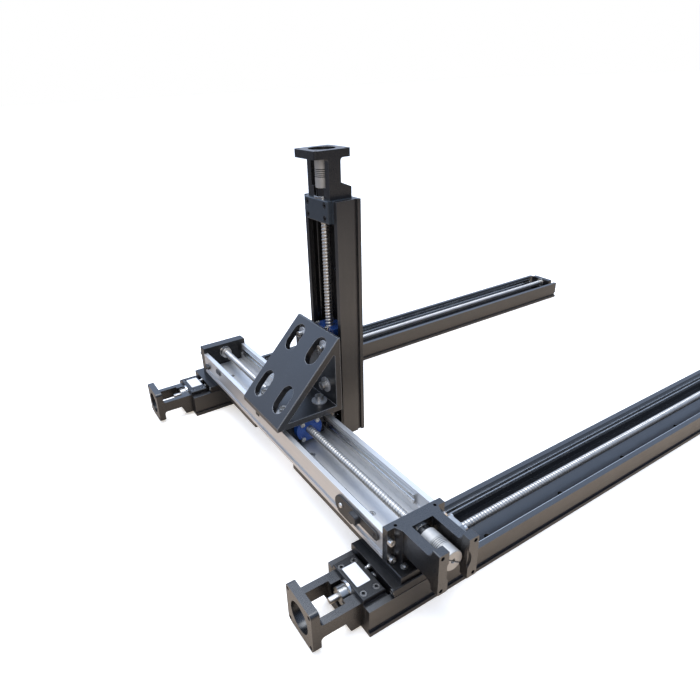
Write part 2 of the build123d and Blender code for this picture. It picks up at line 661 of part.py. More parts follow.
def cross_module():
    """Pieces of the cross module."""
    face = CROSS_SADDLE_X - SADDLE_L / 2
    depth = BRACKET_SCREW_L + THREAD_SPARE - WASHER_T - BRACKET_T
    nut_face = -BAR_MID_T - BAR_RING_OUT - SEAT_GAP - CROSS_LOCK_NUT_L
    top = nut_face - COUPLING_GAP
    thread = (0, CROSS_L - END_NUT_L - SEAT_GAP)
    holes = saddle_pattern(CROSS_SADDLE_X)
    ends = bar_screw_places(0, -1) + bar_screw_places(CROSS_L, 1)
    return {
        "profile": profile(CROSS_L, ends, BAR_SCREW_L - BAR_END_T + THREAD_SPARE),
        "left_rail": guide_rail(CROSS_L, -1),
        "right_rail": guide_rail(CROSS_L, 1),
        "motor_bracket": motor_bracket(),
        "screw": ball_screw(top - CROSS_COUPLING_L / 2, nut_face, thread, CROSS_L + END_BEARING_L),
        "bearing": bearing((-BEARING_L, 0), JOURNAL_D, BEARING_OD),
        "lock_nut": lock_nut(-BAR_MID_T - BAR_RING_OUT, CROSS_LOCK_NUT_L),
        "coupling": coupling((top - CROSS_COUPLING_L, top), CROSS_COUPLING_D),
        "end_plate": end_plate(),
        "end_bearing": bearing((CROSS_L, CROSS_L + END_BEARING_L), END_JOURNAL_D, END_BEARING_OD),
        "end_nut": end_nut(),
        "ball_nut": ball_nut(face, -1),
        "saddle": saddle(CROSS_SADDLE_X, SADDLE_L, -1, holes, (M8[0], depth)),
        "limit_strip": limit_strip(),
        "limit_flag": limit_flag(),
    }


def column_module():
    """Pieces of the column module."""
    face = COLUMN_SADDLE_X - SADDLE_L / 2
    depth = BRACKET_SCREW_L + THREAD_SPARE - WASHER_T - BRACKET_T
    nut_face = -BLOCK_RING_OUT - SEAT_GAP - LOCK_NUT_L
    grip = (FLANGE_T - MOUNT_OUT + COUPLING_GAP, nut_face - COUPLING_GAP)
    end_x = COLUMN_L - END_BLOCK_L
    thread = (BEARING_END_X, end_x - SEAT_GAP)
    holes = saddle_pattern(COLUMN_SADDLE_X)
    return {
        "profile": profile(COLUMN_L, block_screw_places(LID_TOP_Z - FLOOR_T), FLOOR_T),
        "left_rail": guide_rail(COLUMN_L, -1),
        "right_rail": guide_rail(COLUMN_L, 1),
        "bearing_block": bearing_block(),
        "motor_mount": motor_mount(),
        "screw": ball_screw(sum(grip) / 2, nut_face, thread, end_x + END_BEARING_L),
        "bearing": fixed_bearing(),
        "lock_nut": lock_nut(-BLOCK_RING_OUT, LOCK_NUT_L),
        "coupling": coupling(grip, COLUMN_COUPLING_D),
        "end_block": end_block(COLUMN_L),
        "end_bearing": bearing((end_x, end_x + END_BEARING_L), END_JOURNAL_D, END_BEARING_OD),
        "ball_nut": ball_nut(face, -1),
        "saddle": saddle(COLUMN_SADDLE_X, SADDLE_L, -1, holes, (M8[0], depth)),
    }


# Frames of the modules in the gantry
CARRIAGE_Y = CROSS_START + CROSS_SADDLE_X
COLUMN_TOP = CROSS_Z + SADDLE_TOP_Z + COLUMN_SADDLE_UP + COLUMN_SADDLE_X
COLUMN_BACK_X = CROSS_X + BRACKET_REACH + SADDLE_TOP_Z
GANTRY = Pos(-MID_X, -MID_Y, 0)
NEAR_FRAME = GANTRY
FAR_FRAME = GANTRY * Pos(0, BASE_PITCH, 0)
CROSS_FRAME = GANTRY * Pos(CROSS_X, CROSS_START, CROSS_Z) * Rot(0, 0, 90)
COLUMN_FRAME = GANTRY * Plane(
    origin=(COLUMN_BACK_X, CARRIAGE_Y, COLUMN_TOP), x_dir=(0, 0, -1), z_dir=(-1, 0, 0)).location


def group(solids):
    """Loose solids of one kind, kept apart."""
    return Compound(children=solids)


def screw_groups():
    """Every set of like fasteners, in the gantry's frame."""
    block = cap_screws(M5, BLOCK_SCREW_L, block_screw_places(M5_SINK))
    base_face = BASE_SADDLE_X + BASE_SADDLE_L / 2 + NUT_FLANGE_T
    cross_face = CROSS_SADDLE_X - SADDLE_L / 2 - NUT_FLANGE_T
    column_face = COLUMN_SADDLE_X - SADDLE_L / 2 - NUT_FLANGE_T
    plates = [GANTRY * screw for base_y in (0, BASE_PITCH)
              for screw in cap_screws(M5, PLATE_SCREW_L, adapter_screw_places(base_y, M5_SINK))]
    floor = [Pos(0, 0, -M5_SINK) * place for place in floor_holes(CROSS_L)]
    profile_screws = cap_screws(M5, FLOOR_T - M5_SINK + ADAPTER_T - THREAD_SPARE, floor)
    ends = cap_screws(M5, BAR_SCREW_L, bar_screw_places(-BAR_END_T, -1))
    ends += cap_screws(M5, BAR_SCREW_L + END_PLATE_T - BAR_END_T,
                       bar_screw_places(CROSS_L + END_PLATE_T, 1))
    base_nut = cap_screws(M4, NUT_SCREW_L, nut_bolts(base_face, 1))
    cross_nut = cap_screws(M4, NUT_SCREW_L, nut_bolts(cross_face, -1))
    column_nut = cap_screws(M4, NUT_SCREW_L, nut_bolts(column_face, -1))
    middle = GANTRY * Pos(0, CARRIAGE_Y, 0)
    washer = Cylinder(WASHER_D / 2, WASHER_T, align=(Align.CENTER, Align.CENTER, Align.MIN))
    washer -= Cylinder(M8[0] / 2 + SHANK_GAP, WASHER_T, align=(Align.CENTER, Align.CENTER, Align.MIN))
    return {
        "base_block_screws": [frame * screw for frame in (NEAR_FRAME, FAR_FRAME) for screw in block],
        "column_block_screws": [COLUMN_FRAME * screw for screw in block],
        "cross_module_screws": plates + [CROSS_FRAME * screw for screw in profile_screws + ends]
        + [frame * screw for frame in (NEAR_FRAME, FAR_FRAME) for screw in base_nut],
        "carriage_nut_screws": [CROSS_FRAME * screw for screw in cross_nut]
        + [COLUMN_FRAME * screw for screw in column_nut],
        "bracket_screws": cap_screws(
            M8, BRACKET_SCREW_L, [middle * place for place in bracket_places(WASHER_T)]),
        "bracket_washers": [middle * place * washer for place in bracket_places(0)],
    }


def build():
    """Every node of the gantry by name, in its place."""
    nodes = {}
    base = base_module()
    for prefix, frame in (("near_base", NEAR_FRAME), ("far_base", FAR_FRAME)):
        for name, solid in base.items():
            nodes[f"{prefix}_{name}"] = frame * solid
    for name, solid in cross_module().items():
        nodes[f"cross_{name}"] = CROSS_FRAME * solid
    for name, solid in column_module().items():
        nodes[f"column_{name}"] = COLUMN_FRAME * solid
    end_x = (BASE_L - END_BLOCK_L, BASE_L - END_BLOCK_L + END_BEARING_L)
    end_bearing = bearing(end_x, END_JOURNAL_D, END_BEARING_OD)
    nodes["base_fixed_bearings"] = group([NEAR_FRAME * fixed_bearing(), FAR_FRAME * fixed_bearing()])
    nodes["base_end_bearings"] = group([NEAR_FRAME * end_bearing, FAR_FRAME * end_bearing])
    near_start, far_end = ADAPTER_NEAR_START, CROSS_START + CROSS_L + END_PLATE_T
    nodes["near_adapter_plate"] = GANTRY * adapter_plate(near_start, ADAPTER_NEAR_L, 0)
    nodes["far_adapter_plate"] = GANTRY * adapter_plate(
        far_end - ADAPTER_FAR_L, ADAPTER_FAR_L, BASE_PITCH)
    nodes["bracket"] = GANTRY * bracket()
    seat, far_x = PROFILE_W / 2 + LIP_OUT + SEAT_GAP, CROSS_L - SWITCH_FAR_INSET
    switches = [limit_switch(SWITCH_NEAR_X, seat + STRIP_T), limit_switch(far_x, seat)]
    nodes["cross_limit_switches"] = group([CROSS_FRAME * switch for switch in switches])
    for name, solids in screw_groups().items():
        nodes[name] = group(solids)
    return nodes


os.makedirs("parts", exist_ok=True)
for name, solid in build().items():
    export_step(solid, f"parts/{name}.step")
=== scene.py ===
import math

import bmesh
import bpy
import numpy as np
from mathutils import Matrix, Vector


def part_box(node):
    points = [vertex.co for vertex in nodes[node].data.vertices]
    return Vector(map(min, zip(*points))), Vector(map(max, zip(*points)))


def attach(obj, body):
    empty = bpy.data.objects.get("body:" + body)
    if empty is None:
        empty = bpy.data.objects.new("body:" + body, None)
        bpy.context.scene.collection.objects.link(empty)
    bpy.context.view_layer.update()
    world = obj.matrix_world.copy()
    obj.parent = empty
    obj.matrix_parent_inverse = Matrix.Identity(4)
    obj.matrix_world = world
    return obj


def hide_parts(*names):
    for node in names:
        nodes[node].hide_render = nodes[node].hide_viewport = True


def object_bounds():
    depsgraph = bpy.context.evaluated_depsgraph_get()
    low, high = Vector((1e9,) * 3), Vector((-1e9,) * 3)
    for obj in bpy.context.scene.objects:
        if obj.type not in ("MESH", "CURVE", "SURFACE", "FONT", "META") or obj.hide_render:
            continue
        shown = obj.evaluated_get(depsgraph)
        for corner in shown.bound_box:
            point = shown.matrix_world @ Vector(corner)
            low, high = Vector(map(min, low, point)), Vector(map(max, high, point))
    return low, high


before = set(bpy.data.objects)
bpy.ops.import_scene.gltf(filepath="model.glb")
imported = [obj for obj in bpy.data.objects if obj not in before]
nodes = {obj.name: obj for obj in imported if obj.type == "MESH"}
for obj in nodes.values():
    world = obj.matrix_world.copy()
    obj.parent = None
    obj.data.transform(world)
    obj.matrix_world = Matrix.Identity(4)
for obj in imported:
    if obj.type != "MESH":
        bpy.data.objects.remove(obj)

# Three-axis linear gantry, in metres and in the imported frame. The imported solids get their
# finishes here. Threaded screws, split couplings, limit switches, bearing rings and small trim
# are made as surfaces, from outlines that are given in millimetres.

MM = 0.001
cad_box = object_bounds()


# Camera, fitted to the photograph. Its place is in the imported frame, and its angles are in
# degrees.

IMAGE_SIDE = 700
FOCAL_PX = 558.23
CENTRE_PX = (324.28, 346.02)
SENSOR_WIDTH = 36.0
CAMERA_AT = (-0.72791, -0.65156, 0.57158)
CAMERA_AZIMUTH = -30.46
CAMERA_ELEVATION = 25.71
CAMERA_ROLL = -2.83
CLIP = (0.02, 60)


def add_camera():
    """Looks from an azimuth and elevation round +Z, then rolls about its own line of sight."""
    azimuth, elevation, roll = (
        math.radians(value) for value in (CAMERA_AZIMUTH, CAMERA_ELEVATION, CAMERA_ROLL))
    back = Vector((math.sin(azimuth) * math.cos(elevation),
                   -math.cos(azimuth) * math.cos(elevation), math.sin(elevation)))
    level = Vector((math.cos(azimuth), math.sin(azimuth), 0))
    above = back.cross(level)
    right = math.cos(roll) * level + math.sin(roll) * above
    up = math.cos(roll) * above - math.sin(roll) * level
    facing = Matrix((right, up, back)).transposed().to_4x4()
    camera = bpy.data.objects.new("camera", bpy.data.cameras.new("camera"))
    camera.matrix_world = Matrix.Translation(CAMERA_AT) @ facing
    camera.data.sensor_width = SENSOR_WIDTH
    camera.data.lens = FOCAL_PX / IMAGE_SIDE * SENSOR_WIDTH
    camera.data.shift_x = (IMAGE_SIDE / 2 - CENTRE_PX[0]) / IMAGE_SIDE
    camera.data.shift_y = (CENTRE_PX[1] - IMAGE_SIDE / 2) / IMAGE_SIDE
    camera.data.clip_start, camera.data.clip_end = CLIP
    bpy.context.scene.collection.objects.link(camera)
    bpy.context.scene.camera = camera


add_camera()


# Node helpers

class Wiring:
    """Short way to add and join the nodes of one tree."""

    def __init__(self, tree):
        self.tree = tree

    def feed(self, socket, value):
        """Links an input to another socket, or sets its value."""
        if isinstance(value, bpy.types.NodeSocket):
            self.tree.links.new(value, socket)
        else:
            socket.default_value = value

    def add(self, kind, inputs=(), **settings):
        """Node with its settings and inputs."""
        node = self.tree.nodes.new(kind)
        for name, value in settings.items():
            setattr(node, name, value)
        for key, value in dict(inputs).items():
            self.feed(node.inputs[key], value)
        return node

    def use(self, group, **values):
        """Outputs of a node group that is placed with its own values."""
        return self.add("ShaderNodeGroup", values, node_tree=group).outputs

    def maths(self, operation, *values, clamp=False):
        """Result of one Math node."""
        node = self.add("ShaderNodeMath", enumerate(values), operation=operation, use_clamp=clamp)
        return node.outputs[0]

    def vectors(self, operation, first, second, output="Vector"):
        """Vector, or the number called Value, that comes out of one Vector Math node."""
        node = self.add("ShaderNodeVectorMath", {0: first, 1: second}, operation=operation)
        return node.outputs[output]

    def noise(self, place, scale, detail, roughness=0.5):
        """Noise between 0 and 1."""
        return self.add("ShaderNodeTexNoise", {
            "Vector": place, "Scale": scale, "Detail": detail, "Roughness": roughness}).outputs["Fac"]

    def spread(self, value, low, high, out_low=0.0, out_high=1.0):
        """Value between low and high, mapped to out_low and out_high."""
        return self.add("ShaderNodeMapRange", {
            "Value": value, "From Min": low, "From Max": high,
            "To Min": out_low, "To Max": out_high}).outputs["Result"]

    def blend(self, factor, first, second):
        """Colour that goes from the first to the second as the factor goes from 0 to 1."""
        node = self.add("ShaderNodeMix", {0: factor, 6: first, 7: second}, data_type="RGBA")
        return node.outputs[2]


def new_group(name, inputs, outputs):
    """Shader node group with named sockets: {name: (kind, value)} in and {name: kind} out."""
    tree = bpy.data.node_groups.new(name, "ShaderNodeTree")
    for label, (kind, value) in inputs.items():
        socket = tree.interface.new_socket(label, in_out="INPUT", socket_type=f"NodeSocket{kind}")
        if value is not None:
            socket.default_value = value
    for label, kind in outputs.items():
        tree.interface.new_socket(label, in_out="OUTPUT", socket_type=f"NodeSocket{kind}")
    wiring = Wiring(tree)
    start = wiring.add("NodeGroupInput").outputs
    end = wiring.add("NodeGroupOutput").inputs
    return tree, wiring, start, end


# Effects that the finishes share. A range goes from where an effect starts to where it is full,
# and scales are for coordinates in metres.

BEVEL_SAMPLES = 4
EDGE_COSINES = (0.995, 0.85)
FINE_DETAIL, FINE_ROUGHNESS = 3.0, 0.6
BROAD_SHARE, BROAD_DETAIL = 0.18, 2.0
CLOUD_SCALE, CLOUD_DETAIL, CLOUD_ROUGHNESS = 22.0, 5.0, 0.62
CLOUD_RANGE = (0.35, 0.7)
SPECK_SCALE = 420.0
SPECK_RANGE = (0.16, 0.05)


def edge_group():
    """Rounded edges: a softened normal, and a mask that is 1 on the edges."""
    tree, wiring, start, end = new_group(
        "rounded_edges", {"Radius": ("Float", 0.0004)}, {"Normal": "Vector", "Edge": "Float"})
    soft = wiring.add("ShaderNodeBevel", {"Radius": start["Radius"]}, samples=BEVEL_SAMPLES).outputs[0]
    sharp = wiring.add("ShaderNodeNewGeometry").outputs["Normal"]
    same = wiring.vectors("DOT_PRODUCT", soft, sharp, "Value")
    wiring.feed(end["Normal"], soft)
    wiring.feed(end["Edge"], wiring.spread(same, *EDGE_COSINES))
    return tree


def lines_group():
    """Fine and broad drawn lines: coordinates squeezed along one direction, then noise."""
    tree, wiring, start, end = new_group(
        "drawn_lines",
        {"Vector": ("Vector", None), "Squeeze": ("Vector", (1, 1, 1)), "Scale": ("Float", 900.0)},
        {"Line": "Float", "Broad": "Float"})
    squeezed = wiring.vectors("MULTIPLY", start["Vector"], start["Squeeze"])
    broad_scale = wiring.maths("MULTIPLY", start["Scale"], BROAD_SHARE)
    wiring.feed(end["Line"], wiring.noise(squeezed, start["Scale"], FINE_DETAIL, FINE_ROUGHNESS))
    wiring.feed(end["Broad"], wiring.noise(squeezed, broad_scale, BROAD_DETAIL))
    return tree


def handling_group():
    """Smudges and dust: slow clouds of roughness, and sparse pale specks."""
    tree, wiring, start, end = new_group(
        "handling", {"Vector": ("Vector", None), "Amount": ("Float", 0.5)},
        {"Smudge": "Float", "Speck": "Float"})
    cloud = wiring.noise(start["Vector"], CLOUD_SCALE, CLOUD_DETAIL, CLOUD_ROUGHNESS)
    away = wiring.add("ShaderNodeTexVoronoi", {"Vector": start["Vector"], "Scale": SPECK_SCALE},
                      feature="F1").outputs["Distance"]
    smudge = wiring.maths("MULTIPLY", wiring.spread(cloud, *CLOUD_RANGE), start["Amount"])
    speck = wiring.maths("MULTIPLY", wiring.spread(away, *SPECK_RANGE), start["Amount"], clamp=True)
    wiring.feed(end["Smudge"], smudge)
    wiring.feed(end["Speck"], speck)
    return tree


EDGES = edge_group()
LINES = lines_group()
HANDLING = handling_group()


# Finishes. Coordinates are squeezed along the axis that a finish's lines follow.

SQUEEZE = {"X": (0.012, 1, 1), "Y": (1, 0.012, 1), "Z": (1, 1, 0.012), None: (1, 1, 1)}
LINE_RANGE = (0.3, 0.7)
LINE_ROUGHNESS = 0.05
SMUDGE_ROUGHNESS = 0.22
LINE_DEPTH = 0.05 * MM
# Share of a finish's edge colour that is painted on its edges, as a painted highlight.
EDGE_HIGHLIGHT_SHARE = 0.7
DUST = 0.25
DUST_WEIGHT = 0.5
DUST_COLOUR = (0.5, 0.49, 0.47, 1)


def new_material(name):
    """Empty material, its wiring, the inputs of its Principled shader, and the object's
    coordinates."""
    material = bpy.data.materials.new(name)
    material.use_nodes = True
    wiring = Wiring(material.node_tree)
    shader = material.node_tree.nodes["Principled BSDF"].inputs
    place = wiring.add("ShaderNodeTexCoord").outputs["Object"]
    return material, wiring, shader, place


def shaded(colour, share=1.0):
    """Colour with its brightness scaled, as a socket takes it."""
    return (*(channel * share for channel in colour), 1)


def metal(name, colour, along=None, metallic=0.0, roughness=0.4, shade=0.12, edge=None,
          edge_radius=0.4, line_scale=900.0, bump=0.15, gloss=0.5, coat=0.0):
    """Machined or drawn metal: lines along an axis, painted edge highlights, smudges and a little
    dust. The colour varies by its shade, and the edge radius is in millimetres."""
    material, wiring, shader, place = new_material(name)
    rim = wiring.use(EDGES, Radius=edge_radius * MM)
    line = wiring.use(LINES, Vector=place, Squeeze=SQUEEZE[along], Scale=line_scale)
    touch = wiring.use(HANDLING, Vector=place, Amount=DUST)
    base = wiring.blend(line["Broad"], shaded(colour, 1 - shade), shaded(colour, 1 + shade))
    # Painted highlight: the edge colour, lighter than the body on most finishes, is painted on the
    # rounded edges.
    base = wiring.blend(wiring.maths("MULTIPLY", rim["Edge"], EDGE_HIGHLIGHT_SHARE), base, shaded(edge or colour))
    base = wiring.blend(wiring.maths("MULTIPLY", touch["Speck"], DUST_WEIGHT), base, DUST_COLOUR)
    smooth, rough = roughness - LINE_ROUGHNESS, roughness + LINE_ROUGHNESS
    grain = wiring.spread(line["Line"], *LINE_RANGE, smooth, rough)
    smudge = wiring.maths("MULTIPLY", touch["Smudge"], SMUDGE_ROUGHNESS)
    bumps = wiring.add("ShaderNodeBump", {
        "Height": line["Line"], "Strength": bump, "Distance": LINE_DEPTH, "Normal": rim["Normal"]})
    wiring.feed(shader["Base Color"], base)
    wiring.feed(shader["Roughness"], wiring.maths("ADD", grain, smudge, clamp=True))
    wiring.feed(shader["Normal"], bumps.outputs[0])
    shader["Metallic"].default_value = metallic
    shader["Specular IOR Level"].default_value = gloss
    shader["Coat Weight"].default_value = coat
    return material


BLACK = (0.0035, 0.0032, 0.0035)
# The black parts' edge colour is a painted highlight on their edges.
BLACK_EDGE_HIGHLIGHT = (0.16, 0.16, 0.17)
SILVER = (0.62, 0.61, 0.60)
STEEL = (0.60, 0.59, 0.57)
DRAWN = {"edge": BLACK_EDGE_HIGHLIGHT, "roughness": 0.32, "shade": 0.3, "gloss": 1.0}
MILLED = {"line_scale": 1400.0, "bump": 0.3}
GROUND = {"metallic": 1.0, "shade": 0.15}

# Each edge colour below is painted on a finish's edges; a lighter one is a painted highlight.
finish = {
    "black_x": metal("black_anodised_x", BLACK, "X", **DRAWN),
    "black_z": metal("black_anodised_z", BLACK, "Z", **DRAWN),
    "black_plate": metal("black_anodised_plate", BLACK, edge=BLACK_EDGE_HIGHLIGHT, roughness=0.27,
                         shade=0.25, gloss=0.9, **MILLED),
    "black_block": metal("black_anodised_block", BLACK, edge=BLACK_EDGE_HIGHLIGHT, roughness=0.30,
                         shade=0.25, **MILLED),
    # Painted sheen: the column's bearing block is made blue-grey instead of black, for the cool sky
    # reflected in its lid.
    "column_block": metal("sky_sheen_block", (0.030, 0.038, 0.047), edge=BLACK_EDGE_HIGHLIGHT,
                          roughness=0.36, shade=0.15, **MILLED),
    # The bracket's broad, light edge colour is a painted highlight on its rounded nose and edges.
    "bracket": metal("black_anodised_bracket", BLACK, edge=(0.36, 0.37, 0.39), edge_radius=1.7,
                     roughness=0.34, shade=0.25, gloss=0.9, **MILLED),
    "silver": metal("clear_anodised", SILVER, "Y", metallic=0.75, roughness=0.42, shade=0.05),
    "rail_x": metal("ground_rail_x", STEEL, "X", roughness=0.22, **GROUND),
    "rail_y": metal("ground_rail_y", STEEL, "Y", roughness=0.22, **GROUND),
    # Painted shade: the column's rails, which sit inside its profile, are made dark for the shade
    # there.
    "rail_z": metal("shaded_rail_z", (0.09, 0.09, 0.09), "Z", roughness=0.26, **GROUND),
    "thread": metal("rolled_thread", (0.50, 0.47, 0.43), metallic=1.0, roughness=0.34, shade=0.2,
                    line_scale=500.0),
    "bearing": metal("bearing_steel", STEEL, metallic=1.0, roughness=0.15, shade=0.05),
    "oxide": metal("black_oxide", (0.009, 0.009, 0.010), roughness=0.33, edge=(0.12, 0.12, 0.12)),
    # Painted shade: the base lids' screws are made dark steel for the shade of their recesses; the oil
    # plugs share this finish.
    "lid_screw": metal("dull_screws", (0.16, 0.155, 0.15), metallic=1.0, roughness=0.28, shade=0.2),
    "nut_steel": metal("ground_nut", (0.40, 0.39, 0.37), metallic=1.0, roughness=0.3),
    "blue": metal("blue_coat", (0.010, 0.060, 0.27), roughness=0.28, gloss=0.6,
                  edge=(0.15, 0.25, 0.55), coat=0.3),
    # Painted shade: a darker copy of the blue coat, for the column's ball nut.
    "shaded_blue": metal("shaded_blue_coat", (0.008, 0.032, 0.13), roughness=0.25, gloss=0.7,
                       edge=(0.2, 0.3, 0.5), coat=0.3),
    "coupling": metal("turned_alloy", (0.43, 0.41, 0.38), metallic=0.5, roughness=0.48,
                      line_scale=1200.0, edge_radius=0.1),
    "bright": metal("plated_screws", (0.66, 0.64, 0.61), metallic=1.0, roughness=0.27, shade=0.2),
    "washer": metal("zinc_plate", (0.42, 0.43, 0.45), metallic=0.5, roughness=0.4, shade=0.2),
    "strip": metal("black_paint", (0.018, 0.018, 0.018), roughness=0.5, edge=(0.05, 0.05, 0.05)),
    "switch": metal("black_plastic", (0.020, 0.020, 0.021), roughness=0.45, shade=0.1, bump=0.1,
                    edge=(0.06, 0.06, 0.06)),
    "paper": metal("blank_plate", (0.74, 0.72, 0.72), roughness=0.4, shade=0.03, bump=0.05,
                   edge=(0.62, 0.60, 0.58)),
}


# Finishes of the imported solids, by the endings of their names. Where the modules differ, the
# three finishes are those of the base, cross and column modules.

MODULE_PLACE = {"cross": 1, "column": 2}
FINISH_BY_MODULE = {
    "rail": ("rail_x", "rail_y", "rail_z"), "profile": ("black_x", "silver", "black_z"),
    "bearing_block": ("black_block", "black_block", "column_block"),
    "block_screws": ("lid_screw", "oxide", "oxide"), "lock_nut": ("nut_steel", "oxide", "oxide"),
    "ball_nut": ("nut_steel", "blue", "shaded_blue")}
FINISH_BY_ENDING = {
    "end_block": "black_block", "saddle": "black_block", "plate": "black_block",
    "mount": "black_plate", "motor_bracket": "black_plate", "bracket": "bracket",
    "bearing": "bearing", "bearings": "bearing", "screw": "thread", "coupling": "coupling",
    "screws": "bright", "end_nut": "bright", "washers": "washer",
    "strip": "strip", "flag": "strip", "switches": "switch"}


def finish_of(name):
    """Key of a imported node's finish, from the longest ending that its name has in the tables."""
    ending = max(filter(name.endswith, [*FINISH_BY_MODULE, *FINISH_BY_ENDING]), key=len)
    if ending in FINISH_BY_MODULE:
        return FINISH_BY_MODULE[ending][MODULE_PLACE.get(name.split("_")[0], 0)]
    return FINISH_BY_ENDING[ending]


for name, solid in nodes.items():
    solid.data.materials.clear()
    solid.data.materials.append(finish[finish_of(name)])


# Surfaces, from corners, radii and thicknesses in millimetres. Each is placed by three
# directions: along, across and high.

SMOOTH_ANGLE = 40
THREAD_SMOOTH_ANGLE = 50
SLAB_EDGE = 0.2


def add_piece(name, surfaces, finish_key, body, smooth=SMOOTH_ANGLE):
    """Mesh piece at the origin from (points, faces) surfaces, riding on a body, faces outward."""
    points, faces = np.empty((0, 3)), []
    for grid, corners in surfaces:
        faces += [[len(points) + index for index in face] for face in corners]
        points = np.concatenate([points, grid.reshape(-1, 3)])
    mesh = bpy.data.meshes.new(name)
    mesh.from_pydata(points.tolist(), [], faces)
    shell = bmesh.new()
    shell.from_mesh(mesh)
    if shell.calc_volume(signed=True) < 0:
        bmesh.ops.reverse_faces(shell, faces=shell.faces)
        shell.to_mesh(mesh)
    shell.free()
    mesh.materials.append(finish[finish_key])
    mesh.polygons.foreach_set("use_smooth", [True] * len(mesh.polygons))
    mesh.set_sharp_from_angle(angle=math.radians(smooth))
    piece = bpy.data.objects.new(name, mesh)
    bpy.context.scene.collection.objects.link(piece)
    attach(piece, body)
    return piece


def grid_faces(rows, columns, ring=False):
    """Quads between rows whose columns close on themselves. The rows close too in a ring, and
    otherwise the first and the last row get a cap."""
    row, column = np.meshgrid(np.arange(rows if ring else rows - 1), np.arange(columns), indexing="ij")
    beside, above = (column + 1) % columns, (row + 1) % rows
    quads = np.stack([row * columns + column, row * columns + beside,
                      above * columns + beside, above * columns + column], -1).reshape(-1, 4).tolist()
    if ring:
        return quads
    last = (rows - 1) * columns
    return quads + [list(range(columns))[::-1], list(range(last, last + columns))]


def placed(points, origin, axes):
    """Points given as (along, across, high), placed by an origin and three unit directions."""
    return np.asarray(origin) + points @ np.asarray(axes, float)


def turned_surface(outline, around, origin, axes, ring=False):
    """Outline of (along, radius) points, turned about the first direction."""
    along, radius = (np.array(values)[:, None] * MM for values in zip(*outline))
    angle = np.arange(around) * 2 * math.pi / around
    points = np.stack([along + 0 * angle, radius * np.cos(angle), radius * np.sin(angle)], -1)
    return placed(points, origin, axes), grid_faces(len(outline), around, ring)


def rectangle(across, high, radius):
    """Corners of a rounded rectangle between two values across and two values high."""
    return [(across[0], high[0], radius), (across[1], high[0], radius),
            (across[1], high[1], radius), (across[0], high[1], radius)]


def rounded_outline(corners, steps=7):
    """Closed outline in metres from (across, high, radius) corners: each corner becomes an arc
    tangent to its two sides, swept evenly between its two tangent points."""
    points, radius = np.split(np.array(corners, float) * MM, [2], axis=1)
    back, ahead = np.roll(points, 1, 0) - points, np.roll(points, -1, 0) - points
    back /= np.linalg.norm(back, axis=1, keepdims=True)
    ahead /= np.linalg.norm(ahead, axis=1, keepdims=True)
    half = np.arccos(np.sum(back * ahead, 1, keepdims=True)) / 2
    inward = (back + ahead) / np.linalg.norm(back + ahead, axis=1, keepdims=True)
    centre = points + inward * radius / np.sin(half)
    first = points + back * radius / np.tan(half) - centre
    last = points + ahead * radius / np.tan(half) - centre
    sweep, part = (math.pi - 2 * half)[:, None], np.linspace(0, 1, steps)[None, :, None]
    arc = np.sin((1 - part) * sweep) * first[:, None] + np.sin(part * sweep) * last[:, None]
    return (centre[:, None] + arc / np.sin(sweep)).reshape(-1, 2)


def slab_surface(outline, thickness, origin, axes, edge_break=SLAB_EDGE):
    """Flat plate from an outline in metres: the outline at the back, at the start of the broken
    edge, and again at the front, where each point moves in along the outline's own normal."""
    ahead, back = np.roll(outline, -1, 0), np.roll(outline, 1, 0)
    along = ahead - back
    normal = np.stack([-along[:, 1], along[:, 0]], -1) / np.linalg.norm(along, axis=1, keepdims=True)
    area = np.sum(outline[:, 0] * ahead[:, 1] - outline[:, 1] * ahead[:, 0])
    inset = outline + math.copysign(edge_break * MM, area) * normal
    rings = [np.column_stack([np.full(len(ring), depth * MM), ring])
             for ring, depth in ((outline, 0), (outline, thickness - edge_break), (inset, thickness))]
    return placed(np.array(rings), origin, axes), grid_faces(len(rings), len(outline))


# Ways that the screws point: index and sign of the axis, and its three directions

WAYS = {"X": (0, 1, [(1, 0, 0), (0, 1, 0), (0, 0, 1)]),
        "Y": (1, 1, [(0, 1, 0), (-1, 0, 0), (0, 0, 1)]),
        "-Z": (2, -1, [(0, 0, -1), (0, -1, 0), (-1, 0, 0)])}


def reach(node, axis, way):
    """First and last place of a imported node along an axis, seen in one of its two ways."""
    low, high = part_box(node)
    return (low[axis], high[axis]) if way > 0 else (-high[axis], -low[axis])


def on_middle_line(node, axis, place):
    """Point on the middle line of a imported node, at a place along an axis."""
    low, high = (np.array(corner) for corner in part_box(node))
    point = (low + high) / 2
    point[axis] = place
    return point


# Threaded screws: module, body, way, fixed bearing, and the piece where the thread ends

SCREWS = (("near_base", "near_screw", "X", "base_fixed_bearings", "base_end_bearings"),
          ("far_base", "far_screw", "X", "base_fixed_bearings", "base_end_bearings"),
          ("cross", "cross_screw", "Y", "cross_bearing", "cross_end_nut"),
          ("column", "column_screw", "-Z", "column_bearing", "column_end_bearing"))
THREAD_LEAD = 5.0 * MM
ROWS_PER_LEAD = 12
THREAD_AROUND = 24
GROOVE_HALF = 1.45 * MM
GROOVE_DEPTH = 0.75 * MM
SCREW_RADIUS = 6.0 * MM
JOURNAL_RADIUS = 5.0 * MM
STUB_RADIUS = 4.0 * MM
FLAT_CUT = 0.8 * MM
EDGE_BREAK = 0.5 * MM
STEP = 0.1 * MM
SEAT_GAP = 0.3 * MM


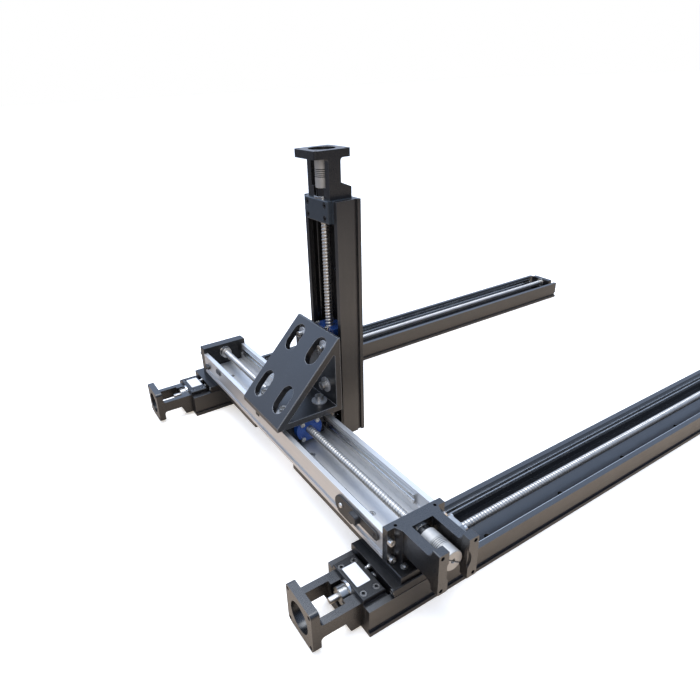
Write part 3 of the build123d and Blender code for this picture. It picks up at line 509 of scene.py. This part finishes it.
def screw_surface(stub_end, thread, end, flat):
    """Radius over (place along the axis, angle). Outside the thread it is a stub, a journal and an
    end journal. Inside it is the screw radius less an elliptic groove, centred where
    place / lead - angle / turn is a whole number. The stub may have a flat on top."""
    rows = int((thread[1] - thread[0]) / THREAD_LEAD * ROWS_PER_LEAD)
    along = np.concatenate([
        [0, EDGE_BREAK, stub_end, stub_end + STEP, thread[0] - STEP],
        np.linspace(thread[0], thread[1], rows),
        [thread[1] + STEP, end - EDGE_BREAK, end]])
    base = np.concatenate([
        [STUB_RADIUS - EDGE_BREAK, STUB_RADIUS, STUB_RADIUS, JOURNAL_RADIUS, JOURNAL_RADIUS],
        np.full(rows, SCREW_RADIUS),
        [STUB_RADIUS, STUB_RADIUS, STUB_RADIUS - EDGE_BREAK]])
    angle = np.arange(THREAD_AROUND) * 2 * math.pi / THREAD_AROUND
    place, turn = np.meshgrid(along, angle, indexing="ij")
    phase = place / THREAD_LEAD - turn / (2 * math.pi)
    away = np.abs(phase - np.round(phase)) * THREAD_LEAD / GROOVE_HALF
    groove = GROOVE_DEPTH * np.sqrt(np.clip(1 - away**2, 0, None))
    radius = base[:, None] - groove * (base[:, None] == SCREW_RADIUS)
    across, high = radius * np.cos(turn), radius * np.sin(turn)
    if flat:
        high = np.where(place <= stub_end, np.minimum(high, STUB_RADIUS - FLAT_CUT), high)
    return np.stack([place, across, high], -1)


def add_screws():
    """One threaded screw for each packed one: the stub ends at the lock nut, and the thread runs
    from the fixed bearing to just before the last piece. The base modules' stubs have a flat."""
    for module, body, way_name, fixed, far in SCREWS:
        axis, way, axes = WAYS[way_name]
        node = module + "_screw"
        start, stop = reach(node, axis, way)
        stub_end = reach(module + "_lock_nut", axis, way)[0] - start
        thread = (reach(fixed, axis, way)[1] - start, reach(far, axis, way)[0] - SEAT_GAP - start)
        points = screw_surface(stub_end, thread, stop - start, module.endswith("base"))
        surface = placed(points, on_middle_line(node, axis, start * way), axes)
        screw = add_piece("threaded_" + node, [(surface, grid_faces(len(points), THREAD_AROUND))],
                          "thread", body, THREAD_SMOOTH_ANGLE)
        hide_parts(node)


add_screws()


# Bright rings in front of the bearings: module, body, way, radius of the nose, depth of the lip

RINGS = (("near_base", "base", "X", 14.0, 2.9), ("far_base", "base", "X", 14.0, 2.9),
         ("cross", "gantry", "Y", 13.0, 1.4), ("column", "column", "-Z", 14.0, 2.9))
RING_HOLE_RADIUS = 9.2
RING_THICKNESS = 0.15
RING_SLOPE = 0.3
LIP_THICKNESS = 0.1
RING_AROUND = 64


def ring_outline(nose_radius, depth):
    """Flat ring in front of a round nose, with a lip that goes back round the nose."""
    lip_radius = nose_radius + LIP_THICKNESS
    front = ((-RING_THICKNESS, RING_HOLE_RADIUS), (-RING_THICKNESS, nose_radius - RING_SLOPE))
    lip = ((LIP_THICKNESS, lip_radius), (depth, lip_radius), (depth, nose_radius))
    return (*front, *lip, (0, nose_radius), (0, RING_HOLE_RADIUS))


def add_rings():
    """Ring on the round nose of each bearing block and of the cross module's end bar."""
    for module, body, way_name, nose_radius, depth in RINGS:
        axis, way, axes = WAYS[way_name]
        face = reach(module + "_lock_nut", axis, way)[1] + SEAT_GAP
        origin = on_middle_line(module + "_screw", axis, face * way)
        ring = turned_surface(ring_outline(nose_radius, depth), RING_AROUND, origin, axes, ring=True)
        add_piece(module + "_bearing_ring", [ring], "bearing", body)


add_rings()


# Grease nipple and oil plug of each base saddle: (along, radius) outline, shift from the
# saddle's middle, and finish

NIPPLE = ((0, 3.0), (1.5, 3.0), (1.7, 2.0), (3.4, 1.6), (4.2, 2.1), (5.2, 2.0), (5.9, 1.1), (6.1, 0.4))
PLUG = ((0, 3.8), (0.8, 3.8), (1.2, 3.4), (1.2, 2.2), (0.4, 2.0))
SADDLE_TRIM = (("grease_nipple", NIPPLE, 5.2 * MM, "bright"),
               ("oil_plug", PLUG, -39.0 * MM, "lid_screw"))
BELOW_SADDLE_TOP = 5.2 * MM
TRIM_AROUND = 20
TRIM_AXES = [(-1, 0, 0), (0, 1, 0), (0, 0, -1)]


def add_saddle_trim():
    """Grease nipple and plug on the motor end of each base saddle."""
    for side in ("near", "far"):
        low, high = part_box(f"{side}_base_saddle")
        for label, outline, shift, finish_key in SADDLE_TRIM:
            origin = (low.x, (low.y + high.y) / 2 + shift, high.z - BELOW_SADDLE_TOP)
            trim = turned_surface(outline, TRIM_AROUND, origin, TRIM_AXES)
            add_piece(f"{side}_{label}", [trim], finish_key, "gantry")


add_saddle_trim()


# Blank plates on the lids of the base bearing blocks

PLATES = {"near": rectangle((5.0, 24.0), (-12.5, 19.5), 1.5),
          "far": rectangle((7.5, 28.0), (-13.0, 20.5), 1.5)}
PLATE_THICKNESS = 0.3
PLATE_EDGE = 0.1
PLATE_AXES = [(0, 0, 1), (1, 0, 0), (0, 1, 0)]


def add_plates():
    """Blank plate on each lid, placed from the profile's end face and the lid's middle."""
    for side, corners in PLATES.items():
        low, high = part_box(f"{side}_base_bearing_block")
        origin = (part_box(f"{side}_base_profile")[0].x, (low.y + high.y) / 2, high.z)
        plate = slab_surface(rounded_outline(corners), PLATE_THICKNESS, origin, PLATE_AXES, PLATE_EDGE)
        add_piece(f"{side}_blank_plate", [plate], "paper", "base")


add_plates()


# Limit switches on the side of the cross module, from (along, up) places on its strip

STRIP = ((92, 4, 13), (92, 32, 13.5), (0.5, 32, 6.4), (0.5, 19, 6.3), (41, 19, 3), (56, 4, 3))
STRIP_THICKNESS = 2.0
SENSOR_BODY = rectangle((37, 53), (18.5, 31), 3.5)
SENSOR_THICKNESS = 6.5
SENSOR_EDGE = 0.8
FAR_BODIES = ((rectangle((536, 552), (16, 22), 1.5), 4.5), (rectangle((484, 502), (24, 32), 1.5), 1.2))
FAR_EDGE = 0.4
PAN_HEAD = ((0, 3.7), (0.8, 3.7), (1.7, 3.1), (2.3, 2.1), (2.4, 1.5), (1.4, 1.3))
DARK_HEAD = ((0, 1.6), (0.7, 1.6), (0.9, 1.3), (0.9, 0.8), (0.3, 0.7))
PAN_SCREWS = ((78, 19),)
DARK_SCREWS = ((52.4, 14), (61.7, 15), (8, 26))
SIDE_AXES = [(-1, 0, 0), (0, 1, 0), (0, 0, 1)]


def on_side(place, depth):
    """Point on the side of the cross module, from a place on the strip and a depth."""
    low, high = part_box("cross_limit_strip")
    return (high.x - depth * MM, low.y + place[0] * MM, low.z + place[1] * MM)


def side_slab(corners, thickness, depth, edge_break=SLAB_EDGE):
    """Slab with rounded corners that stands on the side of the cross module at a depth."""
    origin = on_side((0, 0), depth)
    return slab_surface(rounded_outline(corners), thickness, origin, SIDE_AXES, edge_break)


def strip_heads(outline, places):
    """Screw heads at places on the strip."""
    return [turned_surface(outline, TRIM_AROUND, on_side(place, STRIP_THICKNESS), SIDE_AXES)
            for place in places]


def add_switches():
    """Stepped strip with a round head, its sensor, and the two sensors at the far end."""
    slab = side_slab(STRIP, STRIP_THICKNESS, 0)
    strip = add_piece("switch_strip", [slab], "strip", "gantry")
    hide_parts("cross_limit_strip")
    sensors = [side_slab(SENSOR_BODY, SENSOR_THICKNESS, STRIP_THICKNESS, SENSOR_EDGE)]
    sensors += [side_slab(corners, thickness, 0, FAR_EDGE) for corners, thickness in FAR_BODIES]
    bodies = add_piece("switch_bodies", sensors, "switch", "gantry")
    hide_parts("cross_limit_switches")
    add_piece("strip_pan_screw", strip_heads(PAN_HEAD, PAN_SCREWS), "bright", "gantry")
    add_piece("strip_dark_screws", strip_heads(DARK_HEAD, DARK_SCREWS), "oxide", "gantry")


add_switches()


# Shaft couplings: module, way, and tilt of the hubs' slots in degrees

COUPLINGS = (("cross", "Y", 38), ("column", "-Z", 0))
HUB_SHARE = 0.36
HUB_BORE_RADIUS = 2.8
HUB_STEPS, BORE_STEPS = 40, 16
HUB_EDGE = 0.5
SLOT_WIDTH = 1.1
DISC_PITCH = 2.4
DISC_THICKNESS = 1.4
DISC_RISE = 0.5


def half_hub_outline(radius):
    """Half of a ring on one side of a slot, in metres: outer arc one way, and bore arc back the
    other way."""
    arcs = []
    for size, count, way in ((radius, HUB_STEPS, 1), (HUB_BORE_RADIUS, BORE_STEPS, -1)):
        first = math.asin(SLOT_WIDTH / 2 / size)
        angle = np.linspace(first, math.pi - first, count)[::way]
        arcs.append(np.stack([size * np.cos(angle), size * np.sin(angle)], -1))
    return np.concatenate(arcs) * MM


def coupling_discs(half, radius, middle, axes):
    """Thin discs at an even pitch between the hubs, which stand half a stack off the middle."""
    count = int(2 * half / DISC_PITCH)
    places = (np.arange(count) - (count - 1) / 2) * DISC_PITCH
    return [turned_surface([(place - DISC_THICKNESS / 2, radius), (place + DISC_THICKNESS / 2, radius)],
                           RING_AROUND, middle, axes) for place in places]


def split_hubs(half, length, radius, middle, axes, tilt):
    """Two half rings at each end of the coupling, on both sides of a slot turned by the tilt."""
    along, level, above = np.array(axes, float)
    turn = math.radians(tilt)
    across = math.cos(turn) * level + math.sin(turn) * above
    high = math.cos(turn) * above - math.sin(turn) * level
    return [slab_surface(half_hub_outline(radius), length, middle + end * half * MM * along,
                         [end * along, side * across, end * side * high], HUB_EDGE)
            for end in (1, -1) for side in (1, -1)]


def add_couplings():
    """Each coupling: thin discs, a dark cylinder under them as painted shade in the slits, and at both
    ends a hub split by a slot.
    """
    for module, way_name, tilt in COUPLINGS:
        axis, _, axes = WAYS[way_name]
        node, body = module + "_coupling", module + "_screw"
        low, high = (np.array(corner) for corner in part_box(node))
        middle, size = (low + high) / 2, (high - low) / MM
        radius, hub = size[(axis + 1) % 3] / 2, HUB_SHARE * size[axis]
        half = size[axis] / 2 - hub
        shells = coupling_discs(half, radius, middle, axes)
        shells += split_hubs(half, hub, radius, middle, axes, tilt)
        # Painted shade: a dark cylinder under the discs stands in for the shade deep in the slits
        # between them.
        slit_shade = turned_surface([(-half, radius - DISC_RISE), (half, radius - DISC_RISE)],
                              RING_AROUND, middle, axes)
        coupling = add_piece("split_" + node, shells, "coupling", body)
        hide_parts(node)
        add_piece(module + "_coupling_slit_shade", [slit_shade], "oxide", body)


add_couplings()


# Floor. The light it sends back is painted into its colour: warm near the bright middle, fading to dim
# between two distances.

FLOOR_SIDE = 60.0
FLOOR_GAP = 0.1 * MM
FLOOR_PALE = ((0.93, 0.93, 0.93, 1), (0.95, 0.95, 0.945, 1))
FLOOR_CLOUD_SCALE, FLOOR_CLOUD_DETAIL = 1.2, 3.0
FLOOR_ROUGHNESS = 0.75
FLOOR_GLOSS = 0.2
FLOOR_GLOW = (0.45, 0.40, 0.32, 1)
WARM_BOUNCE = (0.92, 0.70, 0.50, 1)
DIM_BOUNCE = (0.14, 0.12, 0.11, 1)
BRIGHT_MIDDLE = (0.2, -0.45, 0)
BRIGHT_REACH = (0.55, 1.6)


def floor_material():
    """Pale floor. A painted pool of warm light: rays other than the camera's see it warm near the
    gantry and dim far away, and the camera sees it white, with its shadows lifted by a little glow."""
    material, wiring, shader, place = new_material("pale_floor")
    pale = wiring.blend(wiring.noise(place, FLOOR_CLOUD_SCALE, FLOOR_CLOUD_DETAIL), *FLOOR_PALE)
    away = wiring.vectors("DISTANCE", place, BRIGHT_MIDDLE, "Value")
    # Painted light: the colour that rays other than the camera's see is a warm pool round the gantry.
    bounce = wiring.blend(wiring.spread(away, *BRIGHT_REACH), WARM_BOUNCE, DIM_BOUNCE)
    seen = wiring.add("ShaderNodeLightPath").outputs["Is Camera Ray"]
    wiring.feed(shader["Base Color"], wiring.blend(seen, bounce, pale))
    wiring.feed(shader["Emission Strength"], seen)
    shader["Emission Color"].default_value = FLOOR_GLOW
    shader["Roughness"].default_value = FLOOR_ROUGHNESS
    shader["Specular IOR Level"].default_value = FLOOR_GLOSS
    return material


def add_floor():
    """Large square floor, just under the gantry's feet."""
    half = FLOOR_SIDE / 2
    mesh = bpy.data.meshes.new("floor")
    mesh.from_pydata([(-half, -half, 0), (half, -half, 0), (half, half, 0), (-half, half, 0)], [],
                     [(0, 1, 2, 3)])
    mesh.materials.append(floor_material())
    floor = bpy.data.objects.new("floor", mesh)
    floor.location.z = cad_box[0].z - FLOOR_GAP
    bpy.context.scene.collection.objects.link(floor)


# Light: the tent's colours low and high, the heights between which it turns from one to the
# other, its brightness on the near and the far side, and soft boxes with place, target, side,
# watts and colour

TENT_LOW = (0.38, 0.345, 0.33, 1)
TENT_HIGH = (0.72, 0.92, 1.3, 1)
TENT_HEIGHTS = (0.0, 0.45)
TENT_SIDES = (0.5, 1.5)
WHITE = (1, 1, 1, 1)
LIGHTS = (("overhead", (-0.3, 0.5, 3.0), (0, 0, 0), 2.2, 75, (0.97, 0.99, 1.0)),
          ("front_left", (-2.4, -2.2, 1.6), (0, 0, 0.1), 1.6, 28, (1.0, 0.95, 0.88)))


def add_light(name, place, target, side, watts, colour):
    """Square soft box that faces a point."""
    data = bpy.data.lights.new(name, "AREA")
    data.size, data.energy, data.color = side, watts, colour
    light = bpy.data.objects.new(name, data)
    light.location = place
    light.rotation_euler = (Vector(target) - Vector(place)).to_track_quat("-Z", "Y").to_euler()
    bpy.context.scene.collection.objects.link(light)


def add_world():
    """Studio tent: warm near the floor, cool above, brighter on the far side, and plain white
    where the camera sees it."""
    world = bpy.data.worlds.new("studio")
    world.use_nodes = True
    bpy.context.scene.world = world
    wiring = Wiring(world.node_tree)
    direction = wiring.add("ShaderNodeTexCoord").outputs["Generated"]
    axes = wiring.add("ShaderNodeSeparateXYZ", {0: direction}).outputs
    tent = wiring.blend(wiring.spread(axes["Z"], *TENT_HEIGHTS), TENT_LOW, TENT_HIGH)
    side = wiring.spread(axes["Y"], -1.0, 1.0, *TENT_SIDES)
    lit = wiring.add("ShaderNodeVectorMath", {0: tent, "Scale": side}, operation="SCALE").outputs[0]
    seen = wiring.add("ShaderNodeLightPath").outputs["Is Camera Ray"]
    wiring.feed(world.node_tree.nodes["Background"].inputs["Color"], wiring.blend(seen, lit, WHITE))


add_floor()
add_world()
for light in LIGHTS:
    add_light(*light)
bpy.context.scene.view_settings.view_transform = "Standard"
